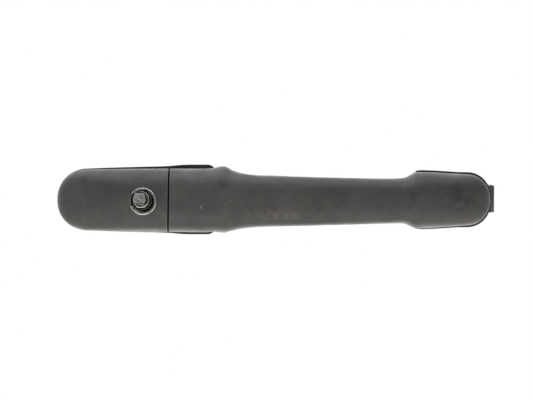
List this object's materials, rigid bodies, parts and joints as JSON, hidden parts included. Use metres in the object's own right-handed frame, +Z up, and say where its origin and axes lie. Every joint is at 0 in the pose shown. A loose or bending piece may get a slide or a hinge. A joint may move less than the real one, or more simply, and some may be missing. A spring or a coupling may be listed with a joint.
{
  "type": "outer car door handle",
  "caption": "Outer pull handle of a car door with a hinged grip, a fixed cap with a key lock, sealing gaskets, and a carrier with a sprung bell crank behind the door skin.",
  "frame": {"origin": "on the door skin's outer face, under the seam between the grip and the lock cap, at mid-height", "axes": "+X forward along the handle, from the lock to the hinge; +Y into the door; +Z up"},
  "size_m": [0.2433, 0.0813, 0.0388],
  "materials": {
    "grained_plastic": "fine moulded grain, satin",
    "moulded_nylon": "glass-filled, as moulded",
    "rubber": "matt",
    "die_cast_zinc": "as cast",
    "plated_steel": "zinc plated",
    "bright_metal": "polished",
    "acetal": "smooth, natural"
  },
  "bodies": {
    "base": {"carrier": "moulded_nylon", "lock_cap": "grained_plastic", "lock_bezel": "bright_metal", "rear_gasket": "rubber", "front_gasket": "rubber", "lock_housing": "die_cast_zinc", "housing_circlip": "plated_steel", "cap_screw": "plated_steel", "cap_nut": "plated_steel", "carrier_screw_rear": "plated_steel", "carrier_screw_front": "plated_steel", "hinge_pin": "plated_steel", "lever_pin": "plated_steel", "lever_clip": "plated_steel", "cable_clip": "acetal", "lever_spring": "plated_steel", "spindle_spring": "plated_steel"},
    "grip": {"grip_cover": "grained_plastic", "grip_back": "moulded_nylon", "grip_frame": "moulded_nylon", "grip_screw_rear": "plated_steel", "grip_screw_front": "plated_steel", "hinge_bush": "acetal", "grip_buffer": "rubber"},
    "crank": {"bell_crank": "moulded_nylon", "lever_bush": "acetal", "inertia_weight_top": "die_cast_zinc", "inertia_weight_bottom": "die_cast_zinc", "weight_rivet": "plated_steel"},
    "spindle": {"lock_spindle": "die_cast_zinc", "spindle_clip": "plated_steel", "lock_paddle": "plated_steel"}
  },
  "joints": [
    {"name": "grip_pull", "type": "hinge", "parent": "base", "child": "grip", "pos_m": [0.171, 0.011, 0], "axis": [0, 0, 1], "range_deg": [0, 8]},
    {"name": "lever_swing", "type": "hinge", "parent": "base", "child": "crank", "pos_m": [0.03739, 0.02376, 0], "axis": [0, 0, 1], "range_deg": [0, 50], "stiffness_Nm_per_rad": 0.1, "springref_deg": -85.94, "deforming": ["lever_spring"]},
    {"name": "lock_turn", "type": "hinge", "parent": "base", "child": "spindle", "pos_m": [-0.0153, -0.0235, 0.0012], "axis": [-0.1173, -0.9774, 0.1759], "range_deg": [-40, 40], "stiffness_Nm_per_rad": 0.05, "deforming": ["spindle_spring"]}
  ],
  "couplings": [
    {"joint": "lever_swing", "follows": "grip_pull", "ratio": 6.22}
  ]
}
